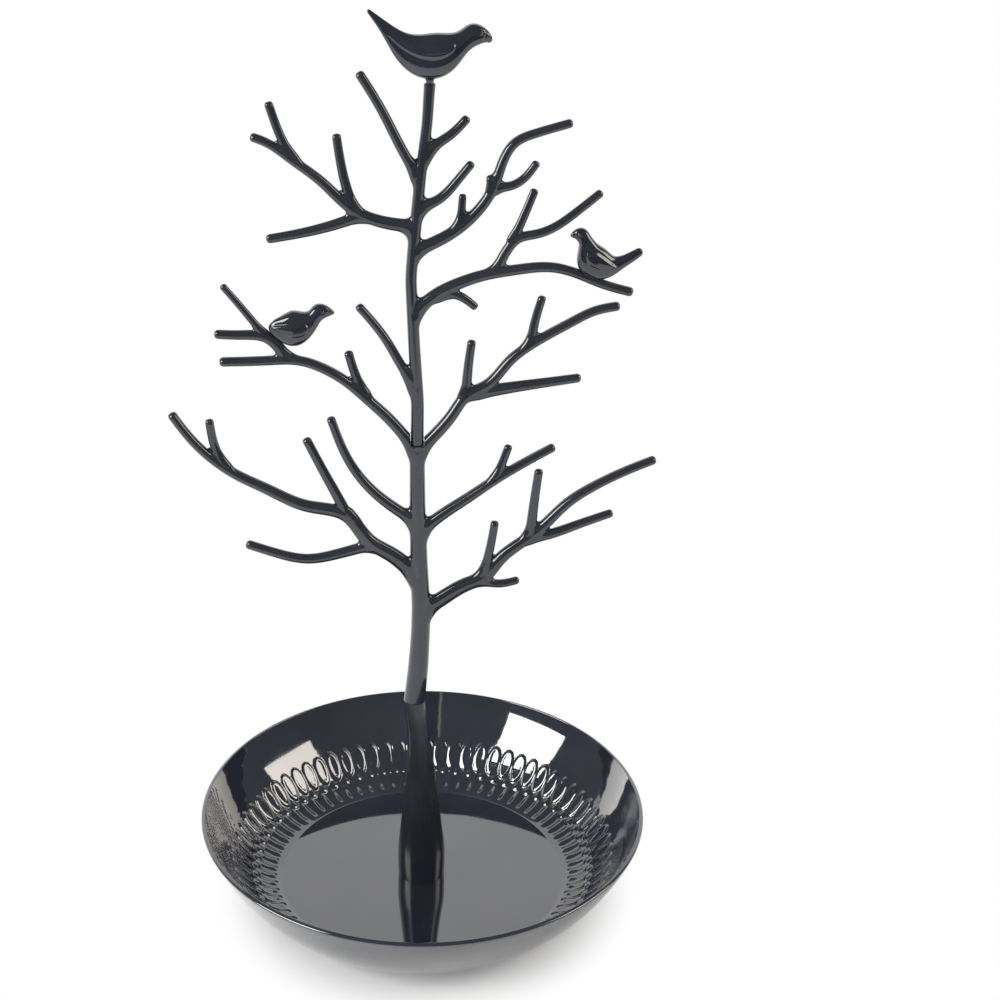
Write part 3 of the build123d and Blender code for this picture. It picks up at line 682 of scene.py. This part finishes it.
def backdrop(name, colour, seen_fade, gloss_fade):
    """Matt white that camera, gloss and glass rays see as plain white beyond a distance from the centre."""
    material, nodes, links, output = material_nodes(name)
    matt = with_inputs(nodes.new("ShaderNodeBsdfDiffuse"), Color=(colour, colour, colour, 1))
    plain = with_inputs(nodes.new("ShaderNodeEmission"), Strength=1.0)
    path = nodes.new("ShaderNodeLightPath")
    place = nodes.new("ShaderNodeNewGeometry")
    length = nodes.new("ShaderNodeVectorMath")
    length.operation = "LENGTH"
    links.new(place.outputs["Position"], length.inputs[0])

    def joined(operation, first, second):
        node = nodes.new("ShaderNodeMath")
        node.operation = operation
        links.new(first, node.inputs[0])
        links.new(second, node.inputs[1])
        return node.outputs[0]

    shares = []
    for rays, (near, far) in ((("Is Camera Ray", "Is Transmission Ray"), seen_fade), (("Is Glossy Ray",), gloss_fade)):
        fade = faded(nodes, links, length.outputs["Value"], near, far)
        for ray in rays:
            shares.append(joined("MULTIPLY", path.outputs[ray], fade))
    share = joined("MAXIMUM", joined("MAXIMUM", shares[0], shares[1]), shares[2])
    mixed(nodes, links, share, matt, plain, output)
    return material


tree_dark, tree_light = (0.014, 0.016, 0.021), (0.021, 0.023, 0.029)
black_dish = gloss_plastic("black_gloss_dish", (0.012, 0.014, 0.022), (0.019, 0.021, 0.031),
                           coat=1.0, gloss=1.72, smooth=0.03, rough=0.08, wave=0.05)
black_tree = gloss_plastic("black_gloss_tree", tree_dark, tree_light,
                           coat=0.4, gloss=1.55, smooth=0.06, rough=0.14, wave=0.25)
black_foot = gloss_plastic("black_gloss_foot", tree_dark, tree_light,
                           coat=0.05, gloss=1.55, smooth=0.16, rough=0.26, wave=0.25)
black_bird = gloss_plastic("black_gloss_bird", (0.011, 0.012, 0.018), (0.018, 0.019, 0.027),
                           coat=0.6, gloss=1.55, smooth=0.04, rough=0.10, wave=0.15)
zinc_plate = zinc("zinc_plate")


# Dish

def rounded_path(corners):
    """Dense path through (radius, height, rounding) corners."""
    path = []
    for i, (r, z, size) in enumerate(corners):
        here = np.array((r, z))
        if size == 0 or i in (0, len(corners) - 1):
            path.append(here)
            continue
        back = np.array(corners[i - 1][:2]) - here
        on = np.array(corners[i + 1][:2]) - here
        back_length = np.linalg.norm(back)
        on_length = np.linalg.norm(on)
        back /= back_length
        on /= on_length
        half = math.acos(np.clip(back @ on, -1, 1)) / 2
        reach = min(size / math.tan(half), 0.48 * back_length, 0.48 * on_length)
        size = reach * math.tan(half)
        middle = (back + on) / np.linalg.norm(back + on)
        centre = here + middle * size / math.sin(half)
        first = here + back * reach - centre
        last = here + on * reach - centre
        sweep = math.atan2(first[0] * last[1] - first[1] * last[0], first @ last)
        steps = max(2, int(abs(sweep) / 0.05))
        for k in range(steps + 1):
            turn = sweep * k / steps
            path.append(centre + np.array((first[0] * math.cos(turn) - first[1] * math.sin(turn),
                                           first[0] * math.sin(turn) + first[1] * math.cos(turn))))
    path = np.array(path)
    run = run_along(path)
    keep = np.concatenate([[True], np.diff(run) > 1e-6])
    path, run = path[keep], run[keep]
    even = np.linspace(0, run[-1], int(run[-1] / 0.04))
    return np.stack([np.interp(even, run, path[:, 0]), np.interp(even, run, path[:, 1])], 1), even


def thinned(path, run, most_turn=0.12, most_run=2.5):
    """Indices of path points to keep: closer where it turns."""
    way = np.gradient(path, axis=0)
    angle = np.unwrap(np.arctan2(way[:, 1], way[:, 0]))
    keep = [0]
    for i in range(1, len(path) - 1):
        if abs(angle[i] - angle[keep[-1]]) > most_turn or run[i] - run[keep[-1]] > most_run:
            keep.append(i)
    return keep + [len(path) - 1]


def relief(run, turn, pitch):
    """Height of the pattern over the wall: ribs below, oval pads above and beads between them."""
    height = rib_height * (0.5 + 0.5 * np.cos(2 * math.pi * turn))
    height *= smooth_step((run - 0.9) / 2.4) * smooth_step((bead_run + 0.2 - run) / 2.4)
    for neighbour in (-1, 0, 1):
        u = ((turn + 0.5) % 1 - 0.5 + neighbour) * pitch
        v = run - oval_middle
        wide = 0.55 * pitch
        level = np.hypot(u / wide, v / oval_half) + 1e-6
        inward = (1 - level) * level / np.hypot(u / wide ** 2, v / oval_half ** 2)
        flank = 1.25 + 0.8 * smooth_step(-v / oval_half)
        t = np.clip(inward / flank, 0, 1)
        pad = oval_height * t * (2 - t) - oval_dip * smooth_step((inward - flank) / 0.9)
        height = -union(-height, -pad, 0.05)
    u = ((turn % 1) - 0.5) * pitch
    gap = np.hypot(u, run - bead_run) / bead_radius
    return np.maximum(height, bead_height * np.maximum(1 - gap ** 2, 0))


def dish_mesh():
    """Turned dish with its relief, as rings that are finer where the relief is."""
    centre = np.array(wall_centre)
    low_turn = math.atan2(seam[1] - centre[1], seam[0] - centre[0])
    high_turn = math.atan2(rim[1] - centre[1], rim[0] - centre[0])
    turns = np.linspace(low_turn, high_turn, 18)

    def arc(radius, values):
        return [(centre[0] + radius * math.cos(t), centre[1] + radius * math.sin(t), 0) for t in values]

    inside = [(hole_radius, floor_height, 0), (floor_radius, floor_height, 3.0), (53.86, 6.14, 25.0), (*seam, 1.5)]
    inside += arc(wall_bulge, turns[1:-1]) + [(*rim, 0.35)]
    outer_radius = wall_bulge + wall_thickness
    outside = [(*arc(outer_radius, turns[-1:])[0][:2], rim_round)] + arc(outer_radius, turns[-2:1:-1])
    outside += [(60.2, 8.9, 10.0), (49.5, 3.5, 2.0), (49.0, floor_under, 0.6),
                (foot_ring[1], floor_under, 0.5), (foot_ring[1], 0.0, 0.45), (foot_ring[0], 0.0, 0.45),
                (foot_ring[0], floor_under, 0.5), (hole_radius, floor_under, 0)]
    path, run = rounded_path(inside + outside)
    way = np.gradient(path, axis=0)
    way /= np.linalg.norm(way, axis=1, keepdims=True)
    normal = np.stack([-way[:, 1], way[:, 0]], 1)
    relief_start = run[np.argmax(path[:, 0] > floor_radius - 1.6)]
    relief_end = run[np.argmax(path[:, 0] > relief_top)]
    rows = []
    for i in thinned(path, run):
        if not relief_start - 0.4 < run[i] < relief_end + 0.4:
            rows.append((run[i], False))
    rows += [(relief_start + (relief_end - relief_start) * i / (relief_rows - 1), True) for i in range(relief_rows)]
    rows.sort()
    floor_edge = floor_radius - hole_radius

    def ring(at, turn, fine):
        """Points of one ring, with the relief where it is fine."""
        r, z = np.interp(at, run, path[:, 0]), np.interp(at, run, path[:, 1])
        lift = np.zeros_like(turn)
        if fine:
            lift = relief(np.full_like(turn, at - floor_edge), turn * oval_count, 2 * math.pi * r / oval_count)
        radius = r + lift * np.interp(at, run, normal[:, 0])
        shift = hole_shift * max(0, 1 - (r - hole_radius) / 12)
        return np.stack([shift + radius * np.cos(2 * math.pi * turn), radius * np.sin(2 * math.pi * turn),
                         z + lift * np.interp(at, run, normal[:, 1])], 1)

    points = []
    normals = []
    starts = []
    step = 0.05
    for at, fine in rows:
        count = fine_columns if fine else coarse_columns
        turn = np.arange(count) / count
        starts.append(len(points))
        points.extend(ring(at, turn, fine))
        low, high = max(at - step, 0), min(at + step, run[-1])
        around = ring(at, turn + step / 380, fine) - ring(at, turn - step / 380, fine)
        facing = np.cross(ring(high, turn, fine) - ring(low, turn, fine), around)
        normals.extend(facing / np.linalg.norm(facing, axis=1, keepdims=True))
    faces = []
    for i in range(len(rows)):
        k = (i + 1) % len(rows)
        first, second = starts[i], starts[k]
        many, more = (fine_columns if rows[n][1] else coarse_columns for n in (i, k))
        if many == more:
            for j in range(many):
                n = (j + 1) % many
                faces.append((first + j, second + j, second + n, first + n))
            continue
        coarse, fine, order = (first, second, 1) if many < more else (second, first, -1)
        for j in range(coarse_columns):
            a, b = coarse + j, coarse + (j + 1) % coarse_columns
            fan = [fine + (4 * j + m) % fine_columns for m in range(5)]
            fine_faces = [(a, fan[0], fan[1]), (a, fan[1], fan[2]), (a, fan[2], b), (b, fan[2], fan[3]),
                          (b, fan[3], fan[4])]
            faces += [face[::order] for face in fine_faces]
    return new_mesh("dish", points, faces), np.array(normals)


turned, true_normals = dish_mesh()
piece("dish_shell", turned, "stand", black_dish, "dish")
turned.normals_split_custom_set_from_vertices(true_normals)


# Tree

def make_tree(name, node, limbs, extras, cutters, body):
    """Tree piece from its limbs, with plugs added and sockets cut."""
    tables = flat_tables(limbs)
    low_x, low_z = np.min([limb[0].low for limb in limbs], 0) + FAR - 3
    high_x, high_z = np.max([limb[0].high for limb in limbs], 0) - FAR + 3
    if extras:
        low_z = min(low_z, extras[0].centres[0][1] - 1)
    half = max(limb[0].half_depth.max() for limb in limbs) + 1

    def field(points):
        gap, wide, deep = looked_up(tables, points)
        u = np.maximum(1 + gap / wide, 0)
        v = np.abs(points[:, 1]) / deep
        total = (section_level(u, v) - 1) * np.minimum(wide, deep)
        for rod in extras:
            total = np.minimum(total, rod.distance(points))
        return total

    mesh = net_mesh(field, np.array((low_x, -half, low_z)), np.array((high_x, half, high_z)), tree_voxel)
    piece(name, cut_mesh(mesh, cutters), body, black_tree, node)


base_column = column(base_stations, base_seat, edge=1.6)
lower_column = column(lower_stations, lower_seat)
upper_column = column(upper_stations, upper_seat)
lower_limb_rods = grow(lower_limbs, lower_column, lower_seat)
upper_limb_rods = grow(upper_limbs, upper_column, upper_seat)


def socket(x, seat, plug, length, over):
    """Cutter for the square socket of a plug."""
    return x, seat - length - plug_end_gap, seat + over, plug + plug_gap, plug + plug_gap, 4


foot_mesh = net_mesh(base_column.distance, np.array((-10.0, -9.0, base_seat - 1)),
                     np.array((10.0, 9.0, lower_seat + 1)), tree_voxel)
piece("trunk_foot", cut_mesh(foot_mesh, [socket(kink[0], lower_seat, lower_plug, lower_plug_length, 1)]),
      "stand", black_foot, "trunk_base")
make_tree("lower_limbs", "lower_tree", lower_limb_rods,
          [post(kink[0], lower_seat - lower_plug_length, lower_seat + 1, lower_plug, lower_plug, "square")],
          [socket(joint[0], upper_seat, upper_plug, upper_plug_length, 0.5),
           (joint[0], upper_seat, upper_seat + crotch_height, crotch_half_width, 6, 4)], "lower")
make_tree("upper_limbs", "upper_tree", upper_limb_rods,
          [post(joint[0], upper_seat - upper_plug_length, upper_seat + 1, upper_plug, upper_plug, "square")],
          [(top[0], tree_top - bird_peg_length - 0.3, tree_top + 1, bird_peg + plug_gap, bird_peg + plug_gap, 24)],
          "upper")


# Birds

def wing(front, back, half_height, bow, ripple):
    """Raised wing on both sides: front and back ends in the XZ plane, widest near the front."""
    front, back = np.array(front), np.array(back)
    length = np.linalg.norm(back - front)
    along = (back - front) / length
    over = np.array((-along[1], along[0]))
    if over[1] < 0:
        over = -over

    def height(flat):
        t = ((flat - front) @ along) / length
        lean = (flat - front) @ over + bow * 4 * t * (1 - t)
        nose = np.sqrt(np.maximum(0, 1 - ((0.3 - np.minimum(t, 0.3)) / 0.3) ** 2))
        tail = 1 - (np.clip((t - 0.3) / 0.7, 0, 1)) ** 1.6
        reach = np.maximum(half_height * nose * tail, 1e-3)
        inward = (1 - np.abs(lean) / reach) * np.minimum(reach, 1.5)
        inward = np.where((t < 0) | (t > 1), -1, inward)
        raised = smooth_step(inward / 0.7)
        feathers = np.sin(lean * 2.9 + 1.0) * smooth_step((t - 0.35) / 0.2)
        return 0.5 * raised + ripple * feathers * smooth_step(inward / 0.5)

    return height


def eye(place, radius):
    """Domed eye in a shallow ring."""
    place = np.array(place)

    def height(flat):
        gap = np.linalg.norm(flat - place, axis=1) / radius
        return 0.3 * np.maximum(1 - gap ** 2, 0) - 0.13 * np.exp(-((gap - 1.35) / 0.3) ** 2)

    return height


def crease(start, end, half_width, depth):
    """Groove along a line in the XZ plane."""
    start, end = np.array(start), np.array(end)
    along = end - start

    def height(flat):
        t = np.clip(((flat - start) @ along) / (along @ along), 0, 1)
        gap = np.linalg.norm(flat - start - t[:, None] * along, axis=1)
        return -depth * np.exp(-(gap / half_width) ** 2)

    return height


def make_bird(name, stations, seat, extras, body, features):
    """Bird as an oval rod through its stations, with its features raised or sunk in its sides."""
    facing = math.copysign(1, stations[-1][0] - stations[0][0])
    rows, _ = spline_rows([(x, seat + z, high, thick, lean) for x, z, high, thick, lean in stations], 0.5)
    lean = np.radians(rows[:, 4])
    up = np.stack([np.sin(lean), np.cos(lean)], 1)
    ahead = facing * np.stack([np.cos(lean), -np.sin(lean)], 1)
    shape = Rod(rows[:, :2], ahead, up, rows[:, 2], rows[:, 3], "bird", tip=rows[-1, 2], tail=rows[0, 2])

    def detail(points, run, lean, face):
        flat = points[:, [0, 2]] - (0, seat)
        return sum(feature(flat) for feature in features) * smooth_step(np.abs(face) / 0.35)

    def field(points):
        total = shape.distance(points, detail)
        for rod, fillet in extras:
            total = union(total, rod.distance(points), fillet)
        return total

    rods = [shape] + [rod for rod, _ in extras]
    mesh = grown_mesh(tube_mesh([rod.rings() for rod in rods]), field, bird_voxel)
    piece(name + "_shape", mesh, body, black_bird, name)


make_bird("top_bird", top_bird_stations, tree_top,
          [(post(top[0], tree_top + plug_gap, tree_top + 6, bird_neck, bird_neck, "oval"), 1.0),
           (post(top[0], tree_top - bird_peg_length, tree_top + 1, bird_peg, bird_peg, "oval"), 0.05)],
          "bird",
          [wing((7.9, 11.4), (-12.4, 15.2), 3.2, 2.2, 0.03), eye((15.3, 15.0), 0.5),
           crease((17.0, 15.6), (16.2, 12.6), 0.3, 0.15),
           crease((-10.5, 14.9), (-16.4, 20.6), 0.3, 0.12)])
make_bird("left_bird", left_bird_stations, lower_seat, [], "lower",
          [wing((-35.6, 134.4), (-47.6, 134.7), 2.5, 0.6, 0.07), eye((-31.3, 139.3), 0.42),
           crease((-29.2, 140.0), (-29.6, 137.8), 0.25, 0.12)])
make_bird("right_bird", right_bird_stations, upper_seat, [], "upper",
          [wing((48.3, 63.2), (58.6, 58.0), 2.5, 0.8, 0.07), eye((46.0, 68.7), 0.42),
           crease((44.6, 69.4), (44.9, 67.2), 0.25, 0.12)])

for node in ("base_screw", "base_washer"):
    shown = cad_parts[node]
    for slot in shown.material_slots:
        slot.material = zinc_plate


# Stage

def staged(name, points, faces, material):
    """Part of the stage, from points in metres."""
    mesh = new_mesh(name, points, faces)
    mesh.materials.append(material)
    for face in mesh.polygons:
        face.use_smooth = True
    made = linked(name, mesh)
    return made


sides = 96
stage_radius = 3.0
ring = [(stage_radius * math.cos(2 * math.pi * i / sides), stage_radius * math.sin(2 * math.pi * i / sides))
        for i in range(sides)]
floor_white = backdrop("floor_white", 0.9, (0.048, 0.075), (0.055, 0.3))
wall_white = backdrop("wall_white", 0.86, (0.0, 0.01), (0.0, 0.01))
staged("floor", [(x, y, 0) for x, y in ring], [tuple(range(sides))], floor_white)
wall_points = [(x, y, 0) for x, y in ring]
for x, y in ring:
    height = 0.002 + 3.3 * float(smooth_step((y / stage_radius - 0.5) / 0.12))
    wall_points.append((x, y, height))
staged("sweep", wall_points,
       [(i, (i + 1) % sides, sides + (i + 1) % sides, sides + i) for i in range(sides)], wall_white)


def studio_world():
    """Dim bluish surroundings that the camera sees as plain white."""
    world = bpy.data.worlds.new("studio")
    world.use_nodes = True
    nodes, links = world.node_tree.nodes, world.node_tree.links
    dim = with_inputs(nodes["Background"], Color=(0.82, 0.91, 1.0, 1), Strength=0.16)
    plain = with_inputs(nodes.new("ShaderNodeBackground"), Color=(1, 1, 1, 1))
    seen = nodes.new("ShaderNodeLightPath").outputs["Is Camera Ray"]
    mixed(nodes, links, seen, dim, plain, nodes["World Output"])
    return world


bpy.context.scene.world = studio_world()


def softbox(name, start, end, low, high, radiance, colour, glossy=True):
    """Upright rectangular lamp between two ends, facing the object."""
    start = Vector((start[0], start[1], 0))
    end = Vector((end[0], end[1], 0))
    width = (end - start).length
    along = (end - start) / width
    middle = (start + end) / 2 + Vector((0, 0, (low + high) / 2))
    facing = Vector((along.y, -along.x, 0))
    if facing.dot(middle) > 0:
        facing = -facing
    lamp = bpy.data.lights.new(name, "AREA")
    lamp.shape = "RECTANGLE"
    lamp.size = width
    lamp.size_y = high - low
    lamp.energy = radiance * math.pi * width * (high - low)
    lamp.color = colour
    made = linked(name, lamp)
    upward = Vector((0, 0, 1))
    made.matrix_world = Matrix.Translation(middle) @ Matrix(
        (upward.cross(-facing), upward, -facing)).transposed().to_4x4()
    made.visible_camera = False
    made.visible_glossy = glossy


softbox("softbox_left", (-0.544, -0.417), (-1.067, -0.070), 0.254, 0.72, 9.2, (1.0, 0.98, 0.95))
softbox("softbox_right", (0.632, -0.279), (1.277, 0.144), 0.326, 0.87, 4.9, (1.0, 0.93, 0.84))
softbox("front_fill", (-0.9, -1.5), (0.9, -1.5), 0.25, 1.15, 3.6, (1.0, 1.0, 1.0), glossy=False)


def dark_reflection_card(name, near, far):
    """Matt black that fades in along -Y, from clear: a painted dark reflection, for a sheet that only glossy rays see.
    """
    material, nodes, links, output = material_nodes(name)
    matt = with_inputs(nodes.new("ShaderNodeBsdfDiffuse"), Color=(0.07, 0.07, 0.08, 1))
    clear = nodes.new("ShaderNodeBsdfTransparent")
    place = nodes.new("ShaderNodeNewGeometry")
    split = nodes.new("ShaderNodeSeparateXYZ")
    links.new(place.outputs["Position"], split.inputs["Vector"])
    mixed(nodes, links, faded(nodes, links, split.outputs["Y"], near, far), clear, matt, output)
    return material


# Card in front, for glossy rays only: a painted dark reflection, which darkens what the glossy faces turned to the
# front reflect in place of the lit floor
dark_reflection_material = dark_reflection_card("painted_dark_reflection", -0.42, -0.54)
card = staged("painted_dark_reflection_card", [(-2.2, -2.6, 0.002), (2.2, -2.6, 0.002), (2.2, -0.4, 0.002), (-2.2, -0.4, 0.002)],
              [(0, 1, 2, 3)], dark_reflection_material)
card.visible_camera = False
card.visible_diffuse = False
card.visible_transmission = False
card.visible_shadow = False

fill = bpy.data.lights.new("overhead_fill", "AREA")
fill.shape = "DISK"
fill.size = 1.2
fill.energy = 14.0
overhead = linked("overhead_fill", fill)
overhead.location = (-0.45, 0.5, 1.5)
overhead.rotation_mode = "QUATERNION"
overhead.rotation_quaternion = overhead.location.to_track_quat("Z", "Y")
overhead.visible_camera = False
overhead.visible_glossy = False

# Camera
azimuth, pitch, roll = math.radians(-6.0), math.radians(26.62), math.radians(1.31)
ahead = Vector((-math.sin(azimuth) * math.cos(pitch), math.cos(azimuth) * math.cos(pitch), -math.sin(pitch)))
level = Vector((math.cos(azimuth), math.sin(azimuth), 0))
upright = level.cross(ahead)
side = math.cos(roll) * level + math.sin(roll) * upright
upright = -math.sin(roll) * level + math.cos(roll) * upright
camera = bpy.data.cameras.new("camera")
camera.sensor_width = 36.0
camera.lens = 77.4
camera.clip_start = 0.02
camera.clip_end = 50.0
viewer = linked("camera", camera)
viewer.matrix_world = Matrix.Translation((-0.0400, -0.6087, 0.4553)) @ Matrix(
    (side, upright, -ahead)).transposed().to_4x4()
bpy.context.scene.camera = viewer
bpy.context.scene.view_settings.view_transform = "Standard"
